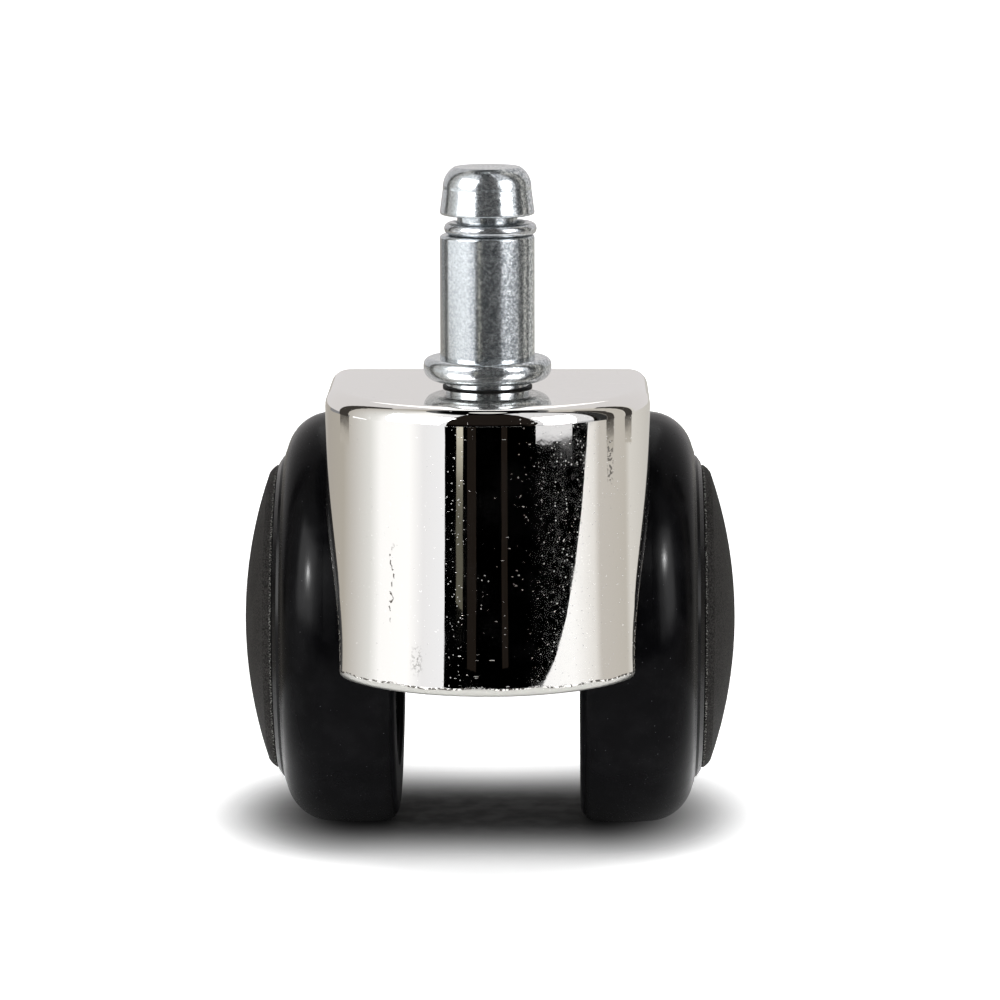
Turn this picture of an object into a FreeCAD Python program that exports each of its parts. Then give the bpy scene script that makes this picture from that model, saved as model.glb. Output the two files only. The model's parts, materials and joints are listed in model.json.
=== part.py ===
import FreeCAD, Part

"""Twin-wheel swivel caster for an office chair: a steel grip-ring stem, a plated die-cast hood
that swivels on it, and two capped plastic wheels that turn freely on one fixed axle.

Millimetres. The origin is on the swivel axis, at the centre of the stem flange's top face, where
the chair's socket rests. +Z runs up the stem. -Y is the hood's round nose and +Y the trailing
side, where the axle lies along X.
"""

import math
import os

Vector = FreeCAD.Vector

# ---- driving dimensions ------------------------------------------------------------------------
MOUNT_HEIGHT = 59.2  # from the floor to the origin
WHEEL_RADIUS = 25.0
AXLE_OFFSET = 19.0  # the caster's trail: swivel axis to axle
FLOOR_Z = -MOUNT_HEIGHT
AXLE_Z = FLOOR_Z + WHEEL_RADIUS

# stem
STEM_LENGTH = 22.1  # inserted length, the common 11 x 22 mm size
SHANK_RADIUS = 5.5
SHANK_TOP = 14.25
HEAD_BOTTOM = 16.6
HEAD_SHOULDER_Z = 19.6  # where the head's slight cone turns into its dome
HEAD_SHOULDER_RADIUS = 5.14
HEAD_FLAT_RADIUS = 3.85
GROOVE_RADIUS = 3.5
FLANGE_RADIUS = 7.45
FLANGE_THICKNESS = 2.7
NECK_RADIUS = 4.85
NECK_HEIGHT = 0.59
PINTLE_RADIUS = 4.0
PINTLE_BOTTOM = -34.0

# grip ring
RING_WIRE_RADIUS = 0.72
RING_RADIUS = 4.66  # to the wire's centre
RING_Z = SHANK_TOP + RING_WIRE_RADIUS + 0.03
RING_SHIFT = 0.37  # the loose ring hangs to one side in its groove
RING_GAP = 26.0  # degrees
RING_GAP_AT = 140.0  # degrees from +X, towards the back

# swivel bearing
RUNNING = 0.05  # radial clearance of every running fit
WASHER_GAP = 0.03
SWIVEL_WASHER_RADIUS = 5.2
SWIVEL_WASHER_THICKNESS = 0.18
BUSH_RADIUS = 5.0
BUSH_FLANGE_RADIUS = 6.4
BUSH_FLANGE_THICKNESS = 1.0
THRUST_WASHER_RADIUS = 6.8
THRUST_WASHER_THICKNESS = 0.8
CLIP_THICKNESS = 0.8
CLIP_GROOVE_WIDTH = 0.9

# hood
HOOD_TOP = -FLANGE_THICKNESS - NECK_HEIGHT - WASHER_GAP - SWIVEL_WASHER_THICKNESS
HOOD_LIP = -36.65
HOOD_RADIUS = 18.9  # half round nose about the swivel axis, and half the hood's width
HOOD_BACK = 17.3
HOOD_CORNER = 2.6
HOOD_TOP_ROUND = 2.0
HOOD_LIP_ROUND = 1.1
HOOD_WALL = 2.4
HOOD_ROOF = 3.6
WHEEL_ARCH_RADIUS = 26.8  # about the axle
ARCH_EDGE_ROUND = 0.2
STEM_BOSS_RADIUS = 8.2
STEM_BOSS_BOTTOM = -29.5
FLANGE_ROOM_RADIUS = 7.2  # clear space round the bush's flange and the thrust washer
AXLE_BOSS_RADIUS = 7.6
AXLE_BOSS_HALF = 9.9
KEEL_HALF = 4.0  # half thickness of the wall that joins the bosses
KEEL_BACK = 16.2  # where the keel's rear edge leaves the roof
NOSE_RIB_HALF = 1.2

# axle and what holds the wheels on it
AXLE_RADIUS = 4.0
AXLE_HALF = 24.6
AXLE_CHAMFER = 0.6
SPACER_RADIUS = 7.2
HUB_INNER = 10.95  # distance from the middle plane to the wheel's inner face
HUB_OUTER = 21.4
CLIP_X = 22.35
AXLE_CLIP_RADIUS = 6.3
STEM_CLIP_RADIUS = 6.2
CLIP_ROOT = 0.75  # depth of a clip's groove

# wheel, as distances from the middle plane and radii about the axle
HUB_BUSH_RADIUS = 5.2
HUB_RADIUS = 8.6
DISC_INNER = 19.0
RIM_INNER_RADIUS = 16.5
RIM_RADIUS = 20.4
KEY_RADIUS = 21.4  # the rim's ridge that locks the tread on
KEY_FROM, KEY_TO = 15.5, 19.5
RIM_OUTER = 24.6  # where the tread's flank ends
RIM_EDGE = 24.95  # the rim's outer corner, a thin ring beside the tread
RIM_EDGE_RADIUS = 19.4
RIM_NOSE = 25.4
RIM_NOSE_RADIUS = 18.75
GROOVE_X = 24.2  # bottom of the groove between the rim and the tread
GROOVE_BOTTOM_RADIUS = 19.8
SEAT_RADIUS = 18.47  # recess for the cap
RIM_INNER = 11.85
RIB_COUNT = 8
RIB_HALF = 0.9
RIB_INNER = 13.4  # the ribs stop short of the rim's inner edge
RIB_ROOT = 0.6  # how far the ribs run into the hub, the disc and the rim
TREAD_LIP_RADIUS = 18.2  # the tread wraps the rim's inner edge down to here
TREAD_CORNER = 2.1
CROWN_AT = 16.4
SHOULDER_RADIUS = 5.45
SHOULDER_AT = 19.1
SHOULDER_END = 14.0  # degrees below which the shoulder's round becomes the conical flank
FLANK_RADIUS = 20.1

# cap
CAP_APEX = 29.6
CAP_DOME = 53.0
CAP_DOME_EDGE = 17.5
CAP_RADIUS = 18.32
CAP_EDGE_X = 25.8
CAP_WALL = 1.5
CAP_SPIGOT_RADIUS = 18.15
CAP_SPIGOT_WALL = 1.4
CAP_SPIGOT_END = HUB_OUTER  # the spigot bottoms on the wheel's disc
CAP_SKIRT = 1.3  # width of the cap's full-diameter edge
CAP_BEAD = 0.45
CAP_BEAD_X = 23.2
CAP_BEAD_HALF = 0.4
CAP_GROOVE_RADIUS = 18.72  # the seat's groove, where the bead snaps in
CAP_SLOT_COUNT = 6
CAP_SLOT_HALF = 1.0
CAP_SLOT_DEPTH = 3.0


# ---- helpers -----------------------------------------------------------------------------------
def outline(*steps):
    """A closed face in the XZ plane from (a, b) corners; a step of two points is an arc that
    passes through the first and ends at the second."""
    here = start = steps[0]
    edges = []
    for step in [*steps[1:], start]:
        end = step[-1] if isinstance(step[0], tuple) else step
        a, b = Vector(here[0], 0, here[1]), Vector(end[0], 0, end[1])
        if isinstance(step[0], tuple):
            middle = Vector(step[0][0], 0, step[0][1])
            edges.append(Part.Arc(a, middle, b).toShape())
        elif a.distanceToPoint(b) > 1e-7:
            edges.append(Part.LineSegment(a, b).toShape())
        here = end
    return Part.Face(Part.Wire(edges))


def turned(*steps):
    """A solid of revolution about Z from an outline of (radius, height) steps."""
    return outline(*steps).revolve(Vector(0, 0, 0), Vector(0, 0, 1), 360)


def wheel_turned(*steps):
    """A solid of revolution about the axle from an outline of (distance along X, radius) steps."""
    lathe = outline(*steps).revolve(Vector(0, 0, 0), Vector(1, 0, 0), 360)
    lathe.translate(Vector(0, AXLE_OFFSET, AXLE_Z))
    return lathe


def round_corner(centre_x, centre_r, radius, start, end):
    """The middle and end points of an arc, with both angles in degrees."""
    places = []
    for angle in ((start + end) / 2, end):
        turn = math.radians(angle)
        places.append((centre_x + radius * math.cos(turn), centre_r + radius * math.sin(turn)))
    return tuple(places)


def rod(x_from, x_to, radius):
    """A cylinder on the axle's line."""
    base = Vector(x_from, AXLE_OFFSET, AXLE_Z)
    return Part.makeCylinder(radius, x_to - x_from, base, Vector(1, 0, 0))


def post(z_from, z_to, radius):
    """A cylinder on the swivel axis."""
    return Part.makeCylinder(radius, z_to - z_from, Vector(0, 0, z_from))


def mirrored(shape):
    """The left-hand twin of a right-hand piece."""
    return shape.mirror(Vector(0, 0, 0), Vector(1, 0, 0))


def retaining_clip(groove_radius, outer_radius):
    """An E-clip about Z, lying on z = 0 with its mouth towards +X: an open ring that grips its
    groove with one lug at the back and one on each side of the mouth."""
    relief_radius = (groove_radius + outer_radius) / 2
    mouth_half = 0.85 * groove_radius
    up = Vector(0, 0, 1)
    middle = Vector(0, 0, 0)
    clip = Part.makeCylinder(outer_radius, CLIP_THICKNESS)
    clip = clip.cut(Part.makeCylinder(groove_radius, CLIP_THICKNESS))
    mouth = Part.makeBox(outer_radius, 2 * mouth_half, CLIP_THICKNESS)
    mouth.translate(Vector(0, -mouth_half, 0))
    clip = clip.cut(mouth)
    for relief_from in (95, 205):
        relief = Part.makeCylinder(relief_radius, CLIP_THICKNESS, middle, up, 60)
        relief.rotate(middle, up, relief_from)
        clip = clip.cut(relief)
    return clip


# ---- stem and swivel ---------------------------------------------------------------------------
def stem():
    edge = 0.3
    flange_top, flange_side, flange_foot = 0.85, 0.25, 1.4
    groove_top = clip_z() + CLIP_THICKNESS + (CLIP_GROOVE_WIDTH - CLIP_THICKNESS) / 2
    groove_bottom = groove_top - CLIP_GROOVE_WIDTH
    clip_groove = PINTLE_RADIUS - CLIP_ROOT
    neck_bottom = -FLANGE_THICKNESS - NECK_HEIGHT
    return turned(
        (0, STEM_LENGTH),
        (HEAD_FLAT_RADIUS, STEM_LENGTH),
        ((4.78, STEM_LENGTH - 0.95), (HEAD_SHOULDER_RADIUS, HEAD_SHOULDER_Z)),
        (SHANK_RADIUS, HEAD_BOTTOM + edge),
        ((SHANK_RADIUS - 0.09, HEAD_BOTTOM + 0.09), (SHANK_RADIUS - edge, HEAD_BOTTOM)),
        (GROOVE_RADIUS, HEAD_BOTTOM),
        (GROOVE_RADIUS, SHANK_TOP),
        (SHANK_RADIUS - edge, SHANK_TOP),
        ((SHANK_RADIUS - 0.09, SHANK_TOP - 0.09), (SHANK_RADIUS, SHANK_TOP - edge)),
        (SHANK_RADIUS, 0),
        (FLANGE_RADIUS - flange_top, 0),
        ((FLANGE_RADIUS - flange_top * 0.29, -flange_top * 0.29), (FLANGE_RADIUS, -flange_top)),
        (FLANGE_RADIUS, -flange_top - flange_side),
        (
            (FLANGE_RADIUS - flange_foot * 0.27, -FLANGE_THICKNESS + flange_foot * 0.36),
            (FLANGE_RADIUS - flange_foot, -FLANGE_THICKNESS),
        ),
        (NECK_RADIUS, -FLANGE_THICKNESS),
        (NECK_RADIUS, neck_bottom),
        (PINTLE_RADIUS, neck_bottom),
        (PINTLE_RADIUS, groove_top),
        (clip_groove, groove_top),
        (clip_groove, groove_bottom),
        (PINTLE_RADIUS, groove_bottom),
        (PINTLE_RADIUS, PINTLE_BOTTOM + 2 * edge),
        (PINTLE_RADIUS - 2 * edge, PINTLE_BOTTOM),
        (0, PINTLE_BOTTOM),
    )


def grip_ring():
    wire = Part.Face(
        Part.Wire(
            Part.Circle(
                Vector(RING_RADIUS, 0, RING_Z), Vector(0, 1, 0), RING_WIRE_RADIUS
            ).toShape()
        )
    )
    ring = wire.revolve(Vector(0, 0, 0), Vector(0, 0, 1), 360 - RING_GAP)
    ring.rotate(Vector(0, 0, 0), Vector(0, 0, 1), RING_GAP_AT + RING_GAP / 2)
    ring.translate(Vector(RING_SHIFT, 0, 0))
    return ring


def swivel_washer():
    top = HOOD_TOP + SWIVEL_WASHER_THICKNESS
    bore = PINTLE_RADIUS + RUNNING
    return post(HOOD_TOP, top, SWIVEL_WASHER_RADIUS).cut(post(HOOD_TOP, top, bore))


def bush_foot():
    return STEM_BOSS_BOTTOM - BUSH_FLANGE_THICKNESS


def clip_z():
    """Underside of the clip on the pintle."""
    return bush_foot() - THRUST_WASHER_THICKNESS - WASHER_GAP - CLIP_THICKNESS


def swivel_bush():
    sleeve = post(STEM_BOSS_BOTTOM, HOOD_TOP, BUSH_RADIUS)
    flange = post(bush_foot(), STEM_BOSS_BOTTOM, BUSH_FLANGE_RADIUS)
    bore = post(bush_foot(), HOOD_TOP, PINTLE_RADIUS + RUNNING)
    return sleeve.fuse(flange).cut(bore).removeSplitter()


def thrust_washer():
    bottom = bush_foot() - THRUST_WASHER_THICKNESS
    disc = post(bottom, bush_foot(), THRUST_WASHER_RADIUS)
    return disc.cut(post(bottom, bush_foot(), PINTLE_RADIUS + RUNNING))


def stem_clip():
    clip = retaining_clip(PINTLE_RADIUS - CLIP_ROOT, STEM_CLIP_RADIUS)
    clip.rotate(Vector(0, 0, 0), Vector(0, 0, 1), 90)
    clip.translate(Vector(0, 0, clip_z()))
    return clip


# ---- hood --------------------------------------------------------------------------------------
def hood_plan(inset):
    """The hood's outline seen from above, drawn in by inset, as a face at z = 0."""
    half, back = HOOD_RADIUS - inset, HOOD_BACK - inset
    corner = max(HOOD_CORNER - inset, 0.3)
    slant = corner * (1 - math.sqrt(0.5))
    nose = Part.Arc(Vector(-half, 0, 0), Vector(0, -half, 0), Vector(half, 0, 0)).toShape()
    right = Part.LineSegment(Vector(half, 0, 0), Vector(half, back - corner, 0)).toShape()
    right_corner = Part.Arc(
        Vector(half, back - corner, 0),
        Vector(half - slant, back - slant, 0),
        Vector(half - corner, back, 0),
    ).toShape()
    rear = Part.LineSegment(
        Vector(half - corner, back, 0), Vector(corner - half, back, 0)
    ).toShape()
    left_corner = Part.Arc(
        Vector(corner - half, back, 0),
        Vector(slant - half, back - slant, 0),
        Vector(-half, back - corner, 0),
    ).toShape()
    left = Part.LineSegment(Vector(-half, back - corner, 0), Vector(-half, 0, 0)).toShape()
    return Part.Face(Part.Wire([nose, right, right_corner, rear, left_corner, left]))


def hood_block(inset, z_from, z_to):
    block = hood_plan(inset).extrude(Vector(0, 0, z_to - z_from))
    block.translate(Vector(0, 0, z_from))
    return block


def edges_at(shape, z):
    """The edges that lie wholly in the plane at that height."""
    return [edge for edge in shape.Edges if all(abs(v.Z - z) < 1e-6 for v in edge.Vertexes)]


def arch_edges(shell):
    """The edges that the wheel arch leaves on the shell's outer face."""
    found = []
    for edge in shell.Edges:
        points = edge.discretize(5)
        on_arch = all(
            abs(math.hypot(p.y - AXLE_OFFSET, p.z - AXLE_Z) - WHEEL_ARCH_RADIUS) < 1e-3
            for p in points
        )
        on_side = all(
            abs(math.hypot(p.x, min(p.y, 0)) - HOOD_RADIUS) < 1e-3 and p.z < HOOD_TOP - HOOD_ROOF
            for p in points
        )
        if on_arch and on_side:
            found.append(edge)
    return found


def keel():
    """The wall in the middle plane that ties the stem boss, the roof and the axle boss together."""
    roof = HOOD_TOP - HOOD_ROOF / 2
    tangent = AXLE_BOSS_RADIUS * math.sqrt(0.5)
    corners = [
        (0, roof),
        (KEEL_BACK, roof),
        (AXLE_OFFSET + AXLE_BOSS_RADIUS - 0.3, AXLE_Z + 1.5),
        (AXLE_OFFSET - tangent, AXLE_Z - tangent),
        (0, STEM_BOSS_BOTTOM),
    ]
    places = [Vector(-KEEL_HALF, y, z) for y, z in corners]
    face = Part.Face(Part.makePolygon([*places, places[0]]))
    return face.extrude(Vector(2 * KEEL_HALF, 0, 0))


def nose_rib():
    """A thin rib that stays the nose wall against the stem boss."""
    nose = HOOD_WALL / 2 - HOOD_RADIUS
    roof = HOOD_TOP - HOOD_ROOF / 2
    corners = [(nose, -24.0), (nose, roof), (0, roof), (0, -20.0)]
    places = [Vector(-NOSE_RIB_HALF, y, z) for y, z in corners]
    face = Part.Face(Part.makePolygon([*places, places[0]]))
    return face.extrude(Vector(2 * NOSE_RIB_HALF, 0, 0))


def hood():
    shell = hood_block(0, HOOD_LIP, HOOD_TOP)
    shell = shell.makeFillet(HOOD_TOP_ROUND, edges_at(shell, HOOD_TOP))
    shell = shell.makeFillet(HOOD_LIP_ROUND, edges_at(shell, HOOD_LIP))
    shell = shell.cut(hood_block(HOOD_WALL, HOOD_LIP - 1, HOOD_TOP - HOOD_ROOF))
    shell = shell.cut(rod(-HOOD_RADIUS - 1, HOOD_RADIUS + 1, WHEEL_ARCH_RADIUS))
    shell = shell.makeFillet(ARCH_EDGE_ROUND, arch_edges(shell))
    boss = post(STEM_BOSS_BOTTOM, HOOD_TOP - HOOD_ROOF / 2, STEM_BOSS_RADIUS)
    axle_boss = rod(-AXLE_BOSS_HALF, AXLE_BOSS_HALF, AXLE_BOSS_RADIUS)
    casting = shell.fuse([boss, axle_boss, keel(), nose_rib()])
    casting = casting.cut(post(STEM_BOSS_BOTTOM, HOOD_TOP, BUSH_RADIUS))
    casting = casting.cut(post(PINTLE_BOTTOM - 1, STEM_BOSS_BOTTOM, FLANGE_ROOM_RADIUS))
    casting = casting.cut(rod(-AXLE_BOSS_HALF, AXLE_BOSS_HALF, AXLE_RADIUS))
    return casting.removeSplitter()


# ---- axle and its small parts, right-hand where there are two --------------------------------
def axle():
    groove = AXLE_RADIUS - CLIP_ROOT
    groove_from = CLIP_X - (CLIP_GROOVE_WIDTH - CLIP_THICKNESS) / 2
    bar = wheel_turned(
        (-AXLE_HALF, 0),
        (-AXLE_HALF, AXLE_RADIUS - AXLE_CHAMFER),
        (-AXLE_HALF + AXLE_CHAMFER, AXLE_RADIUS),
        (AXLE_HALF - AXLE_CHAMFER, AXLE_RADIUS),
        (AXLE_HALF, AXLE_RADIUS - AXLE_CHAMFER),
        (AXLE_HALF, 0),
    )
    notch = rod(groove_from, groove_from + CLIP_GROOVE_WIDTH, AXLE_RADIUS + 1)
    notch = notch.cut(rod(groove_from, groove_from + CLIP_GROOVE_WIDTH, groove))
    return bar.cut(notch).cut(mirrored(notch))


def spacer_washer():
    end = HUB_INNER - WASHER_GAP
    bore = rod(AXLE_BOSS_HALF, end, AXLE_RADIUS + RUNNING)
    return rod(AXLE_BOSS_HALF, end, SPACER_RADIUS).cut(bore)


def clip_washer():
    start = HUB_OUTER + 2 * WASHER_GAP
    bore = rod(start, CLIP_X, AXLE_RADIUS + RUNNING)
    return rod(start, CLIP_X, SPACER_RADIUS).cut(bore)


def axle_clip():
    clip = retaining_clip(AXLE_RADIUS - CLIP_ROOT, AXLE_CLIP_RADIUS)
    clip.rotate(Vector(0, 0, 0), Vector(0, 1, 0), 90)
    clip.translate(Vector(CLIP_X, AXLE_OFFSET, AXLE_Z))
    return clip


# ---- wheel, right-hand -------------------------------------------------------------------------
def wheel_core():
    """Hub, dished disc and rim in one moulding, open towards the hood and ribbed inside."""
    core = wheel_turned(
        (HUB_INNER, HUB_BUSH_RADIUS),
        (HUB_INNER, HUB_RADIUS - 0.4),
        (HUB_INNER + 0.4, HUB_RADIUS),
        (DISC_INNER, HUB_RADIUS),
        (DISC_INNER, RIM_INNER_RADIUS),
        (RIM_INNER, RIM_INNER_RADIUS),
        (RIM_INNER, RIM_RADIUS),
        (KEY_FROM, RIM_RADIUS),
        (KEY_FROM + 0.6, KEY_RADIUS),
        (KEY_TO - 0.6, KEY_RADIUS),
        (KEY_TO, RIM_RADIUS),
        (RIM_OUTER - 0.9, RIM_RADIUS),
        (GROOVE_X, GROOVE_BOTTOM_RADIUS),
        (RIM_EDGE, RIM_EDGE_RADIUS),
        (RIM_NOSE, RIM_NOSE_RADIUS),
        ((RIM_NOSE + 0.03, RIM_NOSE_RADIUS - 0.17), (RIM_NOSE - 0.12, SEAT_RADIUS)),
        (HUB_OUTER, SEAT_RADIUS),
        (HUB_OUTER, HUB_BUSH_RADIUS),
    )
    ribs = []
    for index in range(RIB_COUNT):
        rib = Part.makeBox(
            DISC_INNER + RIB_ROOT - RIB_INNER,
            RIM_INNER_RADIUS - HUB_RADIUS + 2 * RIB_ROOT,
            2 * RIB_HALF,
            Vector(RIB_INNER, HUB_RADIUS - RIB_ROOT, -RIB_HALF),
        )
        rib.rotate(Vector(0, 0, 0), Vector(1, 0, 0), 360 / RIB_COUNT * (index + 0.5))
        rib.translate(Vector(0, AXLE_OFFSET, AXLE_Z))
        ribs.append(rib)
    groove = rod(CAP_BEAD_X - CAP_BEAD_HALF, CAP_BEAD_X + CAP_BEAD_HALF, CAP_GROOVE_RADIUS)
    return core.fuse(ribs).cut(groove).removeSplitter()


def tyre():
    corner_r = WHEEL_RADIUS - 0.12 - TREAD_CORNER
    shoulder_r = WHEEL_RADIUS - 0.18 - SHOULDER_RADIUS
    return wheel_turned(
        (HUB_INNER, TREAD_LIP_RADIUS),
        (HUB_INNER, corner_r),
        round_corner(HUB_INNER + TREAD_CORNER, corner_r, TREAD_CORNER, 180, 90),
        (
            (CROWN_AT, WHEEL_RADIUS),
            (SHOULDER_AT, shoulder_r + SHOULDER_RADIUS),
        ),
        round_corner(SHOULDER_AT, shoulder_r, SHOULDER_RADIUS, 90, SHOULDER_END),
        (RIM_OUTER, FLANK_RADIUS),
        (GROOVE_X, GROOVE_BOTTOM_RADIUS),
        (RIM_OUTER - 0.9, RIM_RADIUS),
        (KEY_TO, RIM_RADIUS),
        (KEY_TO - 0.6, KEY_RADIUS),
        (KEY_FROM + 0.6, KEY_RADIUS),
        (KEY_FROM, RIM_RADIUS),
        (RIM_INNER, RIM_RADIUS),
        (RIM_INNER, TREAD_LIP_RADIUS),
    )


def hub_bush():
    bore = rod(HUB_INNER, HUB_OUTER, AXLE_RADIUS + RUNNING)
    return rod(HUB_INNER, HUB_OUTER, HUB_BUSH_RADIUS).cut(bore)


def dome_x(radius, offset=0.0):
    """Where the cap's spherical face, drawn in by offset, lies at that radius."""
    ball = CAP_DOME - offset
    return CAP_APEX - CAP_DOME + math.sqrt(ball**2 - radius**2)


def wheel_cap():
    """A domed cover whose split spigot snaps into the wheel's seat."""
    edge_x = dome_x(CAP_DOME_EDGE)
    spigot_in = CAP_SPIGOT_RADIUS - CAP_SPIGOT_WALL
    bead = CAP_SPIGOT_RADIUS + CAP_BEAD
    cap = wheel_turned(
        (CAP_APEX, 0),
        ((dome_x(CAP_DOME_EDGE / 2), CAP_DOME_EDGE / 2), (edge_x, CAP_DOME_EDGE)),
        ((CAP_EDGE_X + 0.42, CAP_RADIUS - 0.33), (CAP_EDGE_X, CAP_RADIUS)),
        (CAP_EDGE_X - CAP_SKIRT, CAP_RADIUS),
        (CAP_EDGE_X - CAP_SKIRT, CAP_SPIGOT_RADIUS),
        (CAP_BEAD_X + CAP_BEAD_HALF, CAP_SPIGOT_RADIUS),
        (CAP_BEAD_X, bead),
        (CAP_BEAD_X - CAP_BEAD_HALF, CAP_SPIGOT_RADIUS),
        (CAP_SPIGOT_END, CAP_SPIGOT_RADIUS),
        (CAP_SPIGOT_END, spigot_in),
        (dome_x(spigot_in, CAP_WALL), spigot_in),
        ((dome_x(spigot_in / 2, CAP_WALL), spigot_in / 2), (CAP_APEX - CAP_WALL, 0)),
    )
    for index in range(CAP_SLOT_COUNT):
        slot = Part.makeBox(
            CAP_SLOT_DEPTH,
            2 * CAP_SPIGOT_WALL,
            2 * CAP_SLOT_HALF,
            Vector(CAP_SPIGOT_END, spigot_in - CAP_SPIGOT_WALL / 2, -CAP_SLOT_HALF),
        )
        slot.rotate(Vector(0, 0, 0), Vector(1, 0, 0), 360 / CAP_SLOT_COUNT * index)
        slot.translate(Vector(0, AXLE_OFFSET, AXLE_Z))
        cap = cap.cut(slot)
    return cap


# ---- every node ----------------------------------------------------------------------------------
SINGLE_NODES = {
    "stem": stem,
    "grip_ring": grip_ring,
    "swivel_washer": swivel_washer,
    "swivel_bush": swivel_bush,
    "thrust_washer": thrust_washer,
    "stem_clip": stem_clip,
    "hood": hood,
    "axle": axle,
}
PAIRED_NODES = {
    "spacer_washer": spacer_washer,
    "clip_washer": clip_washer,
    "axle_clip": axle_clip,
    "wheel_core": wheel_core,
    "tyre": tyre,
    "hub_bush": hub_bush,
    "wheel_cap": wheel_cap,
}


def export(name, shape):
    solids = shape.Solids
    if len(solids) != 1 or not solids[0].isValid():
        raise ValueError(f"{name} is not one valid solid")
    if solids[0].Volume < 0:
        solids[0].reverse()
    solids[0].exportStep(f"parts/{name}.step")
    print(f"{name:22s} {solids[0].Volume:9.1f} mm3")


def main():
    os.makedirs("parts", exist_ok=True)
    for name, make in SINGLE_NODES.items():
        export(name, make())
    for name, make in PAIRED_NODES.items():
        right = make()
        export(f"right_{name}", right)
        export(f"left_{name}", mirrored(right))


main()
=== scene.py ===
import json
import math

import bpy
from mathutils import Matrix, Vector


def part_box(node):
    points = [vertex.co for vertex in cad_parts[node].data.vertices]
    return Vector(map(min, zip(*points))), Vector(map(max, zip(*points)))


MM = 0.001

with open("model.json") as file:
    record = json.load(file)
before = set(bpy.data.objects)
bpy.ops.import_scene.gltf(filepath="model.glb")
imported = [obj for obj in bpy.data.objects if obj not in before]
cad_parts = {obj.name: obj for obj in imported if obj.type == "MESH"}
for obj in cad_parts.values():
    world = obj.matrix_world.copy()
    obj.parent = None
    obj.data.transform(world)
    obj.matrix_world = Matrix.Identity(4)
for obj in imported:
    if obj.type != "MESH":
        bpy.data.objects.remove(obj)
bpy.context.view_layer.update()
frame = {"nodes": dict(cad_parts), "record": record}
NODES = frame["nodes"]
FLOOR_Z = min(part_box("left_tyre")[0].z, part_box("right_tyre")[0].z)
ARCH_RADIUS = 26.8  # mm, the hood's wheel arches, round the axle
NOSE_RIM = 5.15  # mm from the hood's lowest point, under its axle boss, up to the nose's rim
CAP_EDGE_INSET = 3.95  # mm from a cap's outermost point in to its edge, which has painted glints
SCRATCH_AT = (-11.9, -24.0)  # x and z, in mm, of the marks on the hood's nose
SMUDGE_AT = (-7.9, -32.6)
TRAIL_AT = (14.15, -10.4)
SHADOW_X, SHADOW_Y = -1.5, 22.0  # mm from the swivel axis to the middle of the wheels' shadow
SHADOW_CORE = 14.0  # mm to each side of that middle before the shadow starts to fade
SHADOW_SQUEEZE = 1.42  # how much faster it fades sideways than lengthways


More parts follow.
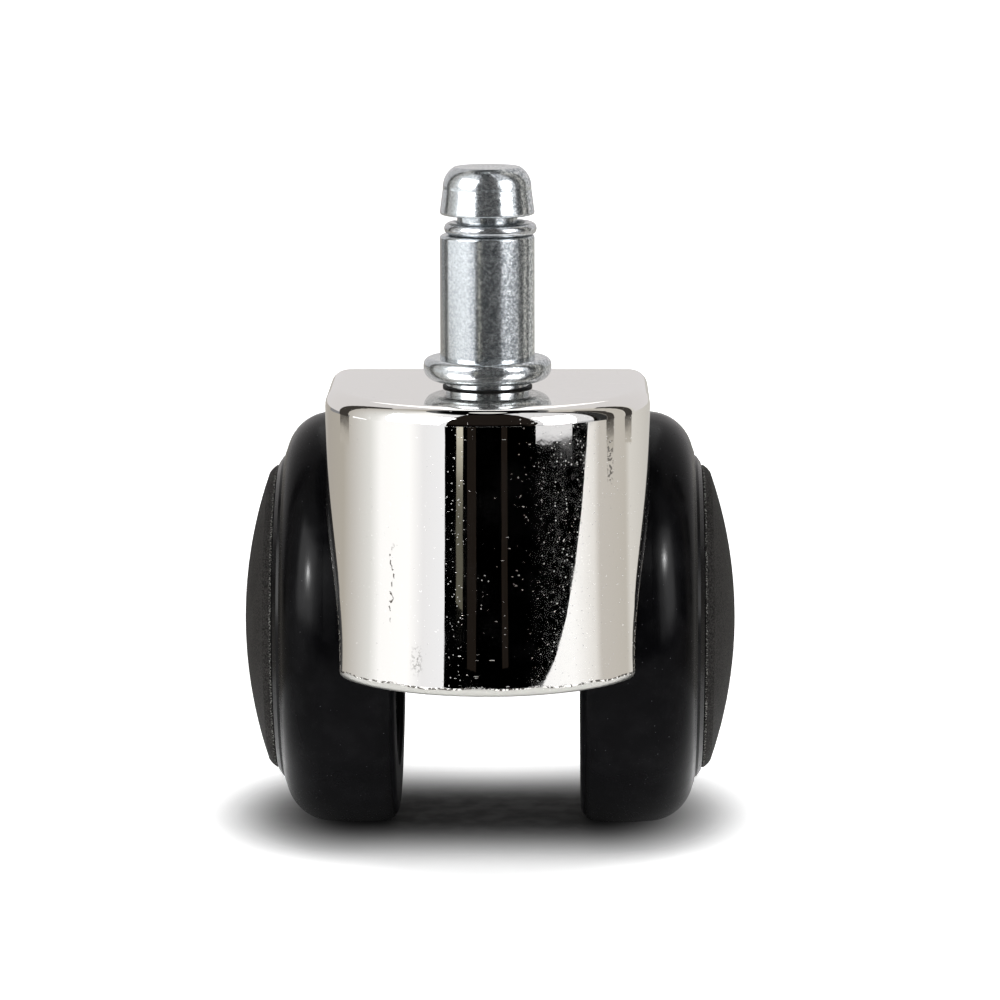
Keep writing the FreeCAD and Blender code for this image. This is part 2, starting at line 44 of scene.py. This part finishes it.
# ---- shader helpers ------------------------------------------------------------------------------
class Finish:
    """One procedural material: a Principled shader and the pattern nodes that feed it."""

    def __init__(self, name):
        self.material = bpy.data.materials.new(name)
        self.material.use_nodes = True
        self.tree = self.material.node_tree
        self.tree.nodes.clear()
        self.bsdf = self.tree.nodes.new("ShaderNodeBsdfPrincipled")
        output = self.tree.nodes.new("ShaderNodeOutputMaterial")
        self.tree.links.new(self.bsdf.outputs["BSDF"], output.inputs["Surface"])
        self.place = self.tree.nodes.new("ShaderNodeTexCoord").outputs["Object"]
        self.relief = None

    def link(self, value, socket):
        """Feeds a socket from another socket, a number or a colour."""
        if isinstance(value, bpy.types.NodeSocket):
            self.tree.links.new(value, socket)
        else:
            socket.default_value = value

    def set(self, **values):
        """Feeds the shader's sockets, each named with underscores for spaces."""
        for name, value in values.items():
            self.link(value, self.bsdf.inputs[name.replace("_", " ")])

    def math(self, operation, a, b=0.0, clamp=False):
        node = self.tree.nodes.new("ShaderNodeMath")
        node.operation = operation
        node.use_clamp = clamp
        self.link(a, node.inputs[0])
        self.link(b, node.inputs[1])
        return node.outputs[0]

    def ramp(self, value, low, high, to_low=0.0, to_high=1.0):
        """Maps low..high onto to_low..to_high, smoothly and clamped."""
        node = self.tree.nodes.new("ShaderNodeMapRange")
        node.interpolation_type = "SMOOTHSTEP"
        for socket, number in zip(node.inputs, (value, low, high, to_low, to_high)):
            self.link(number, socket)
        return node.outputs[0]

    def mix(self, factor, a, b):
        """Mixes two colours."""
        node = self.tree.nodes.new("ShaderNodeMix")
        node.data_type = "RGBA"
        self.link(factor, node.inputs[0])
        self.link(a, node.inputs[6])
        self.link(b, node.inputs[7])
        return node.outputs[2]

    def stretched(self, scale, turn=(0.0, 0.0, 0.0)):
        """The object's coordinates, in millimetres, turned and scaled along each axis."""
        node = self.tree.nodes.new("ShaderNodeMapping")
        node.inputs["Scale"].default_value = [s / MM for s in scale]
        node.inputs["Rotation"].default_value = turn
        self.link(self.place, node.inputs["Vector"])
        return node.outputs[0]

    def noise(self, per_mm, detail=3.0, roughness=0.5, turn=(0.0, 0.0, 0.0)):
        """Noise with that many features per millimetre: one number, or one along each axis."""
        scale = per_mm if isinstance(per_mm, tuple) else (per_mm,) * 3
        node = self.tree.nodes.new("ShaderNodeTexNoise")
        node.inputs["Scale"].default_value = 1.0
        node.inputs["Detail"].default_value = detail
        node.inputs["Roughness"].default_value = roughness
        self.link(self.stretched(scale, turn), node.inputs["Vector"])
        return node.outputs["Fac"]

    def cells(self, per_mm, output="Distance"):
        """Scattered cells, that many to the millimetre: the distance to each one's centre, or its
        own colour."""
        node = self.tree.nodes.new("ShaderNodeTexVoronoi")
        node.inputs["Scale"].default_value = 1.0
        self.link(self.stretched((per_mm,) * 3), node.inputs["Vector"])
        return node.outputs[output]

    def distance_from(self, value, place):
        return self.math("ABSOLUTE", self.math("SUBTRACT", value, place))

    def hypotenuse(self, a, b):
        """How far off something is that is a away one way and b at right angles to it."""
        squares = self.math("ADD", self.math("POWER", a, 2.0), self.math("POWER", b, 2.0))
        return self.math("SQRT", squares)

    def strongest(self, *patterns):
        """Patterns laid over each other: where they meet, the strongest shows."""
        result = patterns[0]
        for pattern in patterns[1:]:
            result = self.math("MAXIMUM", result, pattern)
        return result

    def axis(self, name):
        """The object's X, Y or Z coordinate in millimetres."""
        node = self.tree.nodes.new("ShaderNodeSeparateXYZ")
        self.link(self.stretched((1.0, 1.0, 1.0)), node.inputs[0])
        return node.outputs[name]

    def bump(self, height, microns):
        """Adds relief: height runs from 0 to 1, over that many microns."""
        node = self.tree.nodes.new("ShaderNodeBump")
        node.inputs["Distance"].default_value = microns * 1e-6
        self.link(height, node.inputs["Height"])
        if self.relief:
            self.link(self.relief, node.inputs["Normal"])
        self.relief = node.outputs[0]
        self.link(node.outputs[0], self.bsdf.inputs["Normal"])


# ---- materials -----------------------------------------------------------------------------------
def satin_steel(name, light, dark, rough, grain=(0.6, 0.6, 9.0), smooth_side=1.0):
    """Turned and plated steel: fine rings from the lathe, a cloudy plate and small scratches. The
    grain's contrast is scaled by smooth_side on the -X side."""
    finish = Finish(name)
    middle = 0.6  # the share of the light colour where the grain has no contrast
    cloud = finish.noise(1.4, detail=3.0)
    rings = finish.noise(grain, detail=2.0, roughness=0.7)
    speck = finish.noise(3.4, detail=1.0)
    shade = finish.math("ADD", finish.math("MULTIPLY", cloud, 0.3), finish.math("MULTIPLY", speck, 0.7))
    side = finish.ramp(finish.axis("X"), -2.6, 0.0, smooth_side, 1.0)
    contrast = finish.math("SUBTRACT", finish.ramp(shade, 0.30, 0.70), middle)
    contrast = finish.math("MULTIPLY", contrast, side)
    finish.set(
        Base_Color=finish.mix(finish.math("ADD", contrast, middle, clamp=True), dark, light),
        Metallic=0.88,
        Roughness=finish.ramp(rings, 0.3, 0.7, rough - 0.03, rough + 0.05),
    )
    finish.bump(rings, 0.3)
    finish.bump(speck, 4.0)
    scratch = finish.noise((4.0, 4.0, 0.3), detail=1.0, turn=(0.35, 0.2, 0.0))
    finish.bump(finish.ramp(scratch, 0.72, 0.80), 4.0)
    return finish.material


def ragged_arches(finish):
    """Broken plating along the edges of the wheel arches."""
    low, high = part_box("axle")
    centre = (low + high) / 2 / MM
    along = finish.math("SUBTRACT", finish.axis("Y"), centre.y)
    up = finish.math("SUBTRACT", finish.axis("Z"), centre.z)
    radius = finish.hypotenuse(along, up)
    wander = finish.math("MULTIPLY", finish.noise(1.3, detail=2.0), 0.5)
    from_edge = finish.distance_from(finish.math("SUBTRACT", radius, wander), ARCH_RADIUS)
    broken = finish.ramp(finish.noise(1.9, detail=2.0), 0.46, 0.54)
    return finish.math("MULTIPLY", finish.ramp(from_edge, 0.28, 0.14), broken)


def patch(finish, x, z, centre, across, along, pattern):
    """A pattern kept to a place on the nose. Across and along, in millimetres, are each where it has
    faded out and where it is whole."""
    beside = finish.ramp(finish.distance_from(x, centre[0]), *across)
    above = finish.ramp(finish.distance_from(z, centre[1]), *along)
    return finish.math("MULTIPLY", finish.math("MULTIPLY", beside, above), pattern)


def scuffs(finish, x, z):
    """A broken scratch down the nose's -X side with a smudge below it, and a trail of dark dots high
    on the +X side."""
    drift = finish.math("MULTIPLY", finish.noise(0.5, detail=2.0), 2.4)
    drifting = finish.math("SUBTRACT", x, drift)
    broken = finish.ramp(finish.noise(1.6, detail=2.0), 0.48, 0.56)
    scratch = patch(finish, drifting, z, SCRATCH_AT, (0.15, 0.05), (5.0, 3.5), broken)
    blurred = finish.ramp(finish.noise(3.0, detail=1.0), 0.42, 0.66, 0.0, 0.6)
    smudge = patch(finish, x, z, SMUDGE_AT, (0.9, 0.1), (2.2, 0.4), blurred)
    dotted = finish.ramp(finish.noise(2.2, detail=1.0), 0.50, 0.60, 0.0, 0.7)
    trail = patch(finish, x, z, TRAIL_AT, (0.42, 0.18), (2.9, 1.6), dotted)
    return finish.strongest(scratch, smudge, trail)


def dots(finish, per_mm, sizes, chosen):
    """Small dots, one in each chosen cell. Sizes are where a dot has faded out and where it is
    whole, as shares of a cell."""
    picked = finish.ramp(finish.cells(per_mm, "Color"), *chosen)
    return finish.math("MULTIPLY", finish.ramp(finish.cells(per_mm), *sizes), picked)


def grit_on(finish, x, z, right_band):
    """Grit under the plating: in patches all over, and thickly in two upright bands on the nose."""
    below_top = finish.ramp(z, -4.6, -6.0)
    left_band = finish.ramp(finish.distance_from(x, -3.4), 1.4, 0.5)
    patches = finish.ramp(finish.noise(0.35, detail=3.0), 0.52, 0.72)
    bands = finish.math("MULTIPLY", below_top, finish.math("MAXIMUM", right_band, left_band))
    coarse = dots(finish, 1.7, (0.18, 0.10), (0.35, 0.65))
    coarse = finish.math("MULTIPLY", coarse, finish.math("MAXIMUM", patches, bands))
    edge = finish.math("MAXIMUM", left_band, finish.ramp(x, 6.0, 10.5))
    fine = dots(finish, 2.1, (0.19, 0.10), (0.50, 0.72))
    fine = finish.math("MULTIPLY", fine, finish.math("MULTIPLY", below_top, edge))
    return finish.math("MAXIMUM", coarse, fine)


def dust_and_lip_shade(finish, rim):
    """What dulls the plating: grit, a bloom in the right band, pits, most of them in a broken line
    just above the nose's rim, and the band under that line, which is less polished and painted
    darker: painted shade for the shadowed floor that it reflects."""
    x, z = finish.axis("X"), finish.axis("Z")
    right_band = finish.ramp(finish.distance_from(x, 9.5), 5.0, 1.0)
    grit = grit_on(finish, x, z, right_band)
    bloom = finish.math("MULTIPLY", right_band, finish.ramp(finish.noise(1.2, detail=1.0), 0.30, 0.75))
    wander = finish.math("MULTIPLY", finish.noise(0.25, detail=2.0), 0.9)
    level = finish.math("SUBTRACT", z, wander)
    broken = finish.ramp(finish.noise(2.6, detail=3.0), 0.44, 0.56)
    line = finish.ramp(finish.distance_from(level, rim + 0.60), 0.16, 0.06)
    line = finish.math("MULTIPLY", line, broken)
    pits = finish.strongest(line, scuffs(finish, x, z), ragged_arches(finish))
    # the band under the pit line: rougher, and painted darker as shade for the shadowed floor it
    # reflects
    lip_dull_and_shade = finish.ramp(level, rim + 0.60, rim + 0.45)
    return grit, finish.math("MULTIPLY", bloom, 0.035), pits, lip_dull_and_shade


def chrome(name):
    """Polished nickel-chrome over a die casting: nearly a mirror, with slow ripples, pinholes,
    grit under the plate and a few hairline scratches."""
    finish = Finish(name)
    haze = finish.noise(0.25, detail=3.0)
    grit, bloom, pits, lip_dull_and_shade = dust_and_lip_shade(finish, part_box("hood")[0].z / MM + NOSE_RIM)
    hair = finish.noise((0.10, 9.0, 9.0), detail=1.0, turn=(0.5, 0.9, 0.4))
    hair = finish.ramp(hair, 0.765, 0.785)
    dull = finish.math("MULTIPLY", finish.strongest(grit, hair, pits, lip_dull_and_shade), 0.3)
    # painted shade: the plate is darker under the pit line, partly a duller finish and partly shade
    # from the floor it reflects
    plate = finish.mix(lip_dull_and_shade, (0.90, 0.885, 0.86, 1.0), (0.50, 0.495, 0.465, 1.0))
    tint = finish.mix(grit, plate, (0.75, 0.75, 0.73, 1.0))
    finish.set(
        Base_Color=finish.mix(pits, tint, (0.10, 0.09, 0.08, 1.0)),
        Metallic=finish.math("SUBTRACT", 1.0, finish.math("MAXIMUM", grit, bloom)),
        Roughness=finish.math("ADD", finish.ramp(haze, 0.4, 0.7, 0.015, 0.05), dull),
    )
    finish.bump(finish.noise(0.16, detail=1.0), 14.0)
    finish.bump(finish.noise(0.9, detail=2.0), 0.8)
    finish.bump(pits, 12.0)
    finish.bump(hair, 3.0)
    return finish.material


def glossy_black(name, rough, shine, inner=None):
    """Glossy moulded plastic: near black, with faint flow marks, dust and scuffs; shine is how
    strongly it reflects. Its faces towards the hood, nearer than inner to the middle plane, are
    left dull by the mould."""
    finish = Finish(name)
    flow = finish.noise(0.35, detail=3.0)
    scuff = finish.ramp(finish.noise((5.0, 0.5, 5.0), detail=2.0, turn=(0.3, 0.6, 0.2)), 0.64, 0.74)
    dust = finish.ramp(finish.cells(0.9), 0.06, 0.035)
    gloss = finish.math(
        "ADD", finish.ramp(flow, 0.35, 0.7, rough, rough + 0.06), finish.math("MULTIPLY", scuff, 0.10)
    )
    if inner:
        across = finish.math("ABSOLUTE", finish.axis("X"))
        gloss = finish.math("MAXIMUM", gloss, finish.ramp(across, inner, inner + 0.5, 0.75, 0.0))
    finish.set(
        Base_Color=finish.mix(
            finish.math("MAXIMUM", dust, finish.ramp(flow, 0.4, 0.8, 0.0, 0.04)),
            (0.0024, 0.0024, 0.0030, 1.0),
            (0.07, 0.07, 0.075, 1.0),
        ),
        Roughness=gloss,
        Specular_IOR_Level=shine,
    )
    finish.bump(finish.noise(0.5, detail=2.0), 2.0)
    finish.bump(scuff, 1.0)
    return finish.material


def edge_glints(finish, edge_x):
    """Painted glints: lighter specks along a wheel cap's edge, where its grain catches the light."""
    across = finish.math("ABSOLUTE", finish.axis("X"))
    on_edge = finish.ramp(finish.distance_from(across, edge_x), 0.16, 0.06)
    return finish.math("MULTIPLY", on_edge, finish.ramp(finish.noise(6.0, detail=2.0), 0.50, 0.66))


def textured_plastic(name, light, dark, rough, grain_per_mm=5.0, depth=28.0, edge_x=None):
    """Matt moulded plastic with a spark-eroded grain. If edge_x is given, it has painted glints along
    that edge, and inwards of that edge it is painted near black: painted shade on its side."""
    finish = Finish(name)
    grain = finish.noise(grain_per_mm, detail=3.0, roughness=0.65)
    cloud = finish.ramp(finish.noise(0.3, detail=3.0), 0.2, 0.8, 0.7, 1.0)
    rub = finish.ramp(finish.noise((0.8, 2.5, 2.5), detail=4.0), 0.60, 0.75)
    shade = finish.math("MULTIPLY", finish.ramp(grain, 0.3, 0.7), cloud)
    colour = finish.mix(shade, dark, light)
    if edge_x:
        across = finish.math("ABSOLUTE", finish.axis("X"))
        clear_of_painted_shade = finish.ramp(across, edge_x - 0.12, edge_x)
        # painted shade: inwards of the edge the cap's side is painted near black
        colour = finish.mix(clear_of_painted_shade, (0.002, 0.002, 0.002, 1.0), colour)
        # painted glints: specks of light grey along the cap's edge
        colour = finish.mix(edge_glints(finish, edge_x + 0.05), colour, (0.30, 0.30, 0.28, 1.0))
    finish.set(
        Base_Color=colour,
        Roughness=finish.math("SUBTRACT", rough, finish.math("MULTIPLY", rub, 0.08)),
        Specular_IOR_Level=0.03,
    )
    finish.bump(grain, depth)
    return finish.material


def floor_paper(name):
    """White paper that gives light of its own, so that it stays evenly white, except under the
    caster, where it is dark: that makes most of the caster's shadow. Its pattern follows the hood
    as it swivels."""
    finish = Finish(name)
    finish.place.node.object = NODES["hood"]
    fibre = finish.noise(0.4, detail=5.0)
    beyond = finish.math("SUBTRACT", finish.distance_from(finish.axis("X"), SHADOW_X), SHADOW_CORE)
    across = finish.math("MULTIPLY", finish.math("MAXIMUM", beyond, 0.0), SHADOW_SQUEEZE)
    away = finish.hypotenuse(across, finish.math("SUBTRACT", finish.axis("Y"), SHADOW_Y))
    lit = finish.math("POWER", finish.ramp(away, 1.0, 33.0), 2.0)
    glow_up = finish.math("MULTIPLY", lit, finish.ramp(away, 60.0, 500.0, 0.85, 1.0))
    paper = finish.mix(fibre, (0.90, 0.90, 0.90, 1.0), (0.93, 0.93, 0.93, 1.0))
    finish.set(
        Base_Color=finish.mix(lit, (0.015, 0.015, 0.015, 1.0), paper),
        Roughness=finish.ramp(fibre, 0.3, 0.7, 0.75, 0.9),
        Specular_IOR_Level=0.2,
        Emission_Color=finish.mix(glow_up, (0, 0, 0, 1), (1, 1, 1, 1)),
        Emission_Strength=1.0,
    )
    finish.bump(fibre, 20.0)
    return finish.material


def hub_inner():
    """Distance, in millimetres, from the middle plane to the wheels' inner faces."""
    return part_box("right_tyre")[0].x / MM


def cap_edge():
    """Distance, in millimetres, from the middle plane to the caps' edge, where painted glints lie."""
    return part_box("right_wheel_cap")[1].x / MM - CAP_EDGE_INSET


def make_materials():
    return {
        "zinc_plated_steel": satin_steel(
            "zinc_plated_steel", (0.76, 0.79, 0.81, 1.0), (0.30, 0.33, 0.35, 1.0), 0.17, smooth_side=0.3
        ),
        "spring_steel": satin_steel(
            "spring_steel", (0.64, 0.66, 0.68, 1.0), (0.42, 0.44, 0.46, 1.0), 0.16
        ),
        "washer_steel": satin_steel(
            "washer_steel", (0.58, 0.59, 0.60, 1.0), (0.40, 0.41, 0.42, 1.0), 0.30
        ),
        "axle_steel": satin_steel(
            "axle_steel", (0.55, 0.56, 0.58, 1.0), (0.36, 0.37, 0.38, 1.0), 0.26, grain=(9.0, 0.6, 0.6)
        ),
        "chrome_plate": chrome("chrome_plate"),
        "tread_polyurethane": glossy_black("tread_polyurethane", 0.20, 0.04, inner=hub_inner() + 0.2),
        "wheel_core_plastic": glossy_black("wheel_core_plastic", 0.22, 0.14),
        "cap_plastic": textured_plastic(
            "cap_plastic",
            (0.058, 0.055, 0.052, 1.0),
            (0.008, 0.0075, 0.0072, 1.0),
            0.62,
            edge_x=cap_edge(),
        ),
        "black_nylon": textured_plastic(
            "black_nylon", (0.030, 0.030, 0.030, 1.0), (0.012, 0.012, 0.012, 1.0), 0.42, 3.0, 8.0
        ),
        "white_nylon": textured_plastic(
            "white_nylon", (0.80, 0.77, 0.70, 1.0), (0.68, 0.65, 0.58, 1.0), 0.40, 3.0, 8.0
        ),
    }


def dress_nodes():
    """Gives every CAD node the finish that its record slot names."""
    finishes = make_materials()
    for part in frame["record"]["subparts"]:
        mesh = NODES[part["node"]].data
        mesh.materials.clear()
        mesh.materials.append(finishes[part["material_slot"]])


# ---- studio --------------------------------------------------------------------------------------
def direction(azimuth, elevation):
    """Unit vector towards a place seen from the object. Azimuth 0 is the camera's side, -Y, and
    90 is +X."""
    a, e = math.radians(azimuth), math.radians(elevation)
    return Vector((math.sin(a) * math.cos(e), -math.cos(a) * math.cos(e), math.sin(e)))


def make_camera():
    azimuth, elevation, roll = 0.83, 9.38, -0.12  # degrees
    distance = 0.5597
    target = Vector((0.0, 0.008, FLOOR_Z + 0.0397))
    data = bpy.data.cameras.new("camera")
    data.sensor_width = 36.0
    data.lens = 170.0
    data.shift_x = 0.0112
    data.shift_y = 0.01098
    data.clip_end = 20.0
    camera = bpy.data.objects.new("camera", data)
    bpy.context.scene.collection.objects.link(camera)
    back = direction(azimuth, elevation)
    turn = back.to_track_quat("Z", "Y").to_matrix() @ Matrix.Rotation(math.radians(roll), 3, "Z")
    camera.matrix_world = Matrix.Translation(target + back * distance) @ turn.to_4x4()
    bpy.context.scene.camera = camera


def make_floor():
    bpy.ops.mesh.primitive_circle_add(vertices=96, radius=4.0, fill_type="NGON")
    floor = bpy.context.object
    floor.name = "floor"
    floor.location.z = FLOOR_Z
    floor.data.materials.append(floor_paper("floor_paper"))


def glow(name, shade):
    """A light-giving material; shade(finish) gives its colour."""
    finish = Finish(name)
    finish.set(
        Base_Color=(0.0, 0.0, 0.0, 1.0),
        Roughness=1.0,
        Specular_IOR_Level=0.0,
        Emission_Color=shade(finish),
        Emission_Strength=1.0,
    )
    return finish.material


def flat_colour(colour):
    return lambda finish: (*colour, 1.0)


def reflection_only(name, corners, faces, shade):
    """A card that only reflections see: what stood round the object when it was lit. Corners are
    (x, y, height over the floor) in metres."""
    mesh = bpy.data.meshes.new(name)
    mesh.from_pydata([(x, y, FLOOR_Z + z) for x, y, z in corners], [], faces)
    card = bpy.data.objects.new(name, mesh)
    bpy.context.scene.collection.objects.link(card)
    mesh.materials.append(glow(name, shade))
    card.visible_camera = False
    card.visible_diffuse = False
    card.visible_shadow = False
    card.visible_transmission = False


def reflection_card(name, corners, shade):
    reflection_only(name, corners, [range(len(corners))], shade)


def ring_card(name, inner, outer, height, shade):
    """A flat ring round the object, so that what is close to it still shows the floor."""
    count = 96
    rim = [
        (radius * math.sin(math.tau * i / count), radius * math.cos(math.tau * i / count), height)
        for radius in (inner, outer)
        for i in range(count)
    ]
    faces = [(i, (i + 1) % count, count + (i + 1) % count, count + i) for i in range(count)]
    reflection_only(name, rim, faces, shade)


def arc_card(name, azimuths, edges, count, shade):
    """A card of that many faces between two azimuths, in degrees, and two edges, each a radius
    and a height in metres."""
    start, end = azimuths
    corners = []
    for radius, height in edges:
        for i in range(count + 1):
            way = direction(start + (end - start) * i / count, 0.0) * radius
            corners.append((way.x, way.y, height))
    faces = [(i, i + 1, count + i + 2, count + i + 1) for i in range(count)]
    reflection_only(name, corners, faces, shade)


def wall_card(name, azimuths, radius, heights, shade, lean=1.0):
    """An upright curved wall between two azimuths and two heights; lean is its radius at the top,
    as a share of that at the foot."""
    foot, top = heights
    degrees_per_face = 4
    count = max(2, round((azimuths[1] - azimuths[0]) / degrees_per_face))
    arc_card(name, azimuths, ((radius, foot), (radius * lean, top)), count, shade)


def ring_sector(name, azimuths, radii, height, shade):
    """A flat card between two azimuths and two radii."""
    count = 12
    arc_card(name, azimuths, [(radius, height) for radius in radii], count, shade)


def over_floor(finish):
    """The height over the floor in millimetres."""
    return finish.math("SUBTRACT", finish.axis("Z"), FLOOR_Z / MM)


def sheet_shade(finish):
    """White, dark at its foot, and grey a little way up, where the stem reflects it."""
    height = over_floor(finish)
    white, grey = (0.82, 0.82, 0.84, 1.0), (0.50, 0.50, 0.52, 1.0)
    lower = finish.mix(finish.ramp(height, 0.3, 3.5), (0.05, 0.05, 0.055, 1.0), white)
    middle = finish.mix(finish.ramp(height, 9.0, 16.0), lower, grey)
    return finish.mix(finish.ramp(height, 55.0, 75.0), middle, white)


def door_shade(finish):
    """Dark, fading into what lies behind it towards its foot."""
    patchy = finish.math("MULTIPLY", finish.noise((0.02, 0.02, 0.9), detail=2.0), 4.0)
    fade = finish.ramp(finish.math("ADD", over_floor(finish), patchy), 3.5, 9.5)
    return finish.mix(fade, (0.50, 0.47, 0.42, 1.0), (0.05, 0.045, 0.04, 1.0))


def front_shade(finish):
    """Black low down, very dark brown above."""
    higher = finish.ramp(over_floor(finish), 100.0, 500.0)
    return finish.mix(higher, (0.0, 0.0, 0.0, 1.0), (0.014, 0.011, 0.009, 1.0))


def gap_shade(finish):
    """Warm and pale far off, dimmer close by."""
    far = finish.ramp(finish.math("ABSOLUTE", finish.axis("Y")), 240.0, 375.0)
    return finish.mix(far, (0.11, 0.105, 0.08, 1.0), (0.72, 0.68, 0.56, 1.0))


def wedge(near_y, far, from_azimuth, to_azimuth, height):
    """The corners of a card in front of the object between two azimuths, from the line y = near_y
    out to a distance."""
    near = []
    for azimuth in (from_azimuth, to_azimuth):
        way = direction(azimuth, 0.0)
        near.append((way.x * near_y / way.y, near_y, height))
    out = [direction(azimuth, 0.0) * far for azimuth in (to_azimuth, from_azimuth)]
    return [*near, *[(way.x, way.y, height) for way in out]]


SURROUNDINGS = (  # azimuth in degrees and the colour of what lies that way
    (-180, (0.55, 0.53, 0.50)),
    (-150, (0.42, 0.39, 0.35)),
    (-120, (0.46, 0.43, 0.38)),
    (-104, (0.62, 0.60, 0.57)),
    (-88, (0.80, 0.80, 0.78)),
    (-78, (1.10, 1.10, 1.10)),
    (-55, (1.15, 1.15, 1.15)),
    (-44, (0.92, 0.92, 0.94)),
    (-29, (0.96, 0.97, 1.00)),
    (60, (1.10, 1.10, 1.10)),
    (79, (0.84, 0.82, 0.79)),
    (84, (0.60, 0.57, 0.53)),
    (112, (0.56, 0.53, 0.48)),
    (118, (0.72, 0.70, 0.66)),
    (150, (0.60, 0.58, 0.54)),
    (180, (0.55, 0.53, 0.50)),
)


def by_azimuth(finish):
    """Colours a card by the direction in which it lies from the object."""
    around = finish.math("ARCTAN2", finish.axis("X"), finish.math("MULTIPLY", finish.axis("Y"), -1.0))
    turn = finish.math("ADD", finish.math("DIVIDE", around, math.tau), 0.5)
    ramp = finish.tree.nodes.new("ShaderNodeValToRGB")
    stops = ramp.color_ramp.elements
    for stop, (azimuth, colour) in zip((stops[0], stops[1]), (SURROUNDINGS[0], SURROUNDINGS[-1])):
        stop.position = azimuth / 360 + 0.5
        stop.color = (*colour, 1.0)
    for azimuth, colour in SURROUNDINGS[1:-1]:
        stops.new(azimuth / 360 + 0.5).color = (*colour, 1.0)
    finish.link(turn, ramp.inputs[0])
    return ramp.outputs[0]


def make_cards():
    """The room that the chrome shows: pale walls and floor, a dark gap towards the camera with
    pale sheets at its right, dark doorways at both sides, a lamp in a dark ceiling and a wall at
    the back. What lies on the floor is stacked a millimetre apart."""
    black = flat_colour((0.0, 0.0, 0.0))
    ring_card("surroundings", 0.085, 3.9, 0.001, by_azimuth)
    reflection_card("dark_room", wedge(-0.100, 3.0, -28.5, 86.0, 0.002), black)
    reflection_card("far_gap", wedge(-0.170, 0.9, -20.5, -16.0, 0.003), gap_shade)
    brown = flat_colour((0.013, 0.010, 0.008))
    reflection_card("leg_left", wedge(-0.130, 0.9, -13.0, -7.0, 0.003), brown)
    reflection_card("leg_right", wedge(-0.130, 0.9, 10.0, 14.0, 0.003), brown)
    wall_card("walls", (-180.0, 180.0), 3.8, (0.0, 9.0), by_azimuth)
    wall_card("dark_front", (-28.5, 90.0), 3.0, (0.0, 8.0), front_shade, lean=0.2)
    wall_card("sheet_near", (34.0, 61.0), 0.350, (0.0, 1.6), sheet_shade)
    wall_card("sheet_far", (61.0, 79.0), 0.378, (0.0, 1.6), sheet_shade)
    wall_card("doorway", (82.0, 91.0), 0.384, (0.0, 0.5), flat_colour((0.03, 0.03, 0.03)))
    wall_card("door_edge", (91.0, 99.0), 0.336, (0.0, 0.5), door_shade)
    wall_card("far_doorway", (112.0, 121.0), 0.340, (0.0, 0.4), door_shade)
    wall_card("left_doorway", (-125.0, -112.0), 0.340, (0.0, 0.5), door_shade)
    ring_sector("left_gap", (-145.0, -112.0), (0.50, 1.6), 0.004, flat_colour((0.25, 0.25, 0.26)))
    ring_sector("streak", (-108.0, -40.0), (0.50, 1.6), 0.004, flat_colour((1.45, 1.47, 1.50)))
    ring_card("dark_ceiling", 0.36, 1.0, 3.0, black)
    ring_card("ceiling_lamp", 0.0, 0.36, 3.0, flat_colour((0.72, 0.72, 0.71)))
    wall = [(-1.6, 1.2, 0.0), (1.6, 1.2, 0.0), (1.6, 1.0, 2.6), (-1.6, 1.0, 2.6)]
    reflection_card("back_wall", wall, flat_colour((0.72, 0.70, 0.70)))
    strip = [(-0.3, 1.0, 0.7), (0.3, 1.0, 0.7), (0.3, 0.8, 1.9), (-0.3, 0.8, 1.9)]
    reflection_card("back_strip", strip, flat_colour((1.6, 1.6, 1.6)))


def area_light(name, aim, towards, distance, size, radiance):
    """A softbox facing aim, a place in millimetres, from an azimuth and an elevation."""
    data = bpy.data.lights.new(name, "AREA")
    data.shape = "RECTANGLE"
    data.size, data.size_y = size
    data.energy = radiance * math.pi * size[0] * size[1]
    light = bpy.data.objects.new(name, data)
    bpy.context.scene.collection.objects.link(light)
    way = direction(*towards)
    facing = way.to_track_quat("Z", "Y").to_matrix().to_4x4()
    light.matrix_world = Matrix.Translation(Vector(aim) * MM + way * distance) @ facing
    return light


def make_lights():
    """The lamp overhead lights everything but isn't reflected; the others are only reflected, and
    those for the tyres only in the tyres."""
    overhead = area_light("overhead", (0, 0, 0), (0.0, 80.0), 1.1, (0.50, 0.50), 8.0)
    overhead.visible_glossy = False
    left, right = (-21.0, -3.0, -24.0), (21.0, -3.0, -23.0)
    for_all = (
        area_light("left_softbox", left, (-53.0, 26.0), 0.90, (0.74, 0.70), 6.0),
        area_light("right_softbox", right, (50.0, 24.0), 0.31, (0.15, 0.24), 6.0),
    )
    for_tyres = (
        area_light("left_tyre_softbox", left, (-43.0, 26.0), 0.89, (0.98, 0.70), 3.5),
        area_light("left_hot_spot", left, (-47.0, 28.0), 0.88, (0.05, 0.05), 1200.0),
        area_light("right_tyre_softbox", right, (41.0, 24.0), 0.30, (0.21, 0.32), 4.5),
        area_light("right_hot_spot", right, (41.0, 37.0), 0.29, (0.015, 0.017), 1400.0),
    )
    tyres = bpy.data.collections.new("tyres")
    for side in ("left", "right"):
        tyres.objects.link(NODES[side + "_tyre"])
    for light in for_tyres:
        light.light_linking.receiver_collection = tyres
    for light in for_all + for_tyres:
        light.visible_diffuse = False


def make_world():
    world = bpy.data.worlds.new("studio")
    world.use_nodes = True
    background = world.node_tree.nodes["Background"]
    background.inputs["Color"].default_value = (0.95, 0.97, 1.0, 1.0)
    background.inputs["Strength"].default_value = 0.12
    bpy.context.scene.world = world
    bpy.context.scene.view_settings.view_transform = "Standard"


# ---- build ---------------------------------------------------------------------------------------
make_camera()
make_world()
make_lights()
make_floor()
make_cards()
dress_nodes()
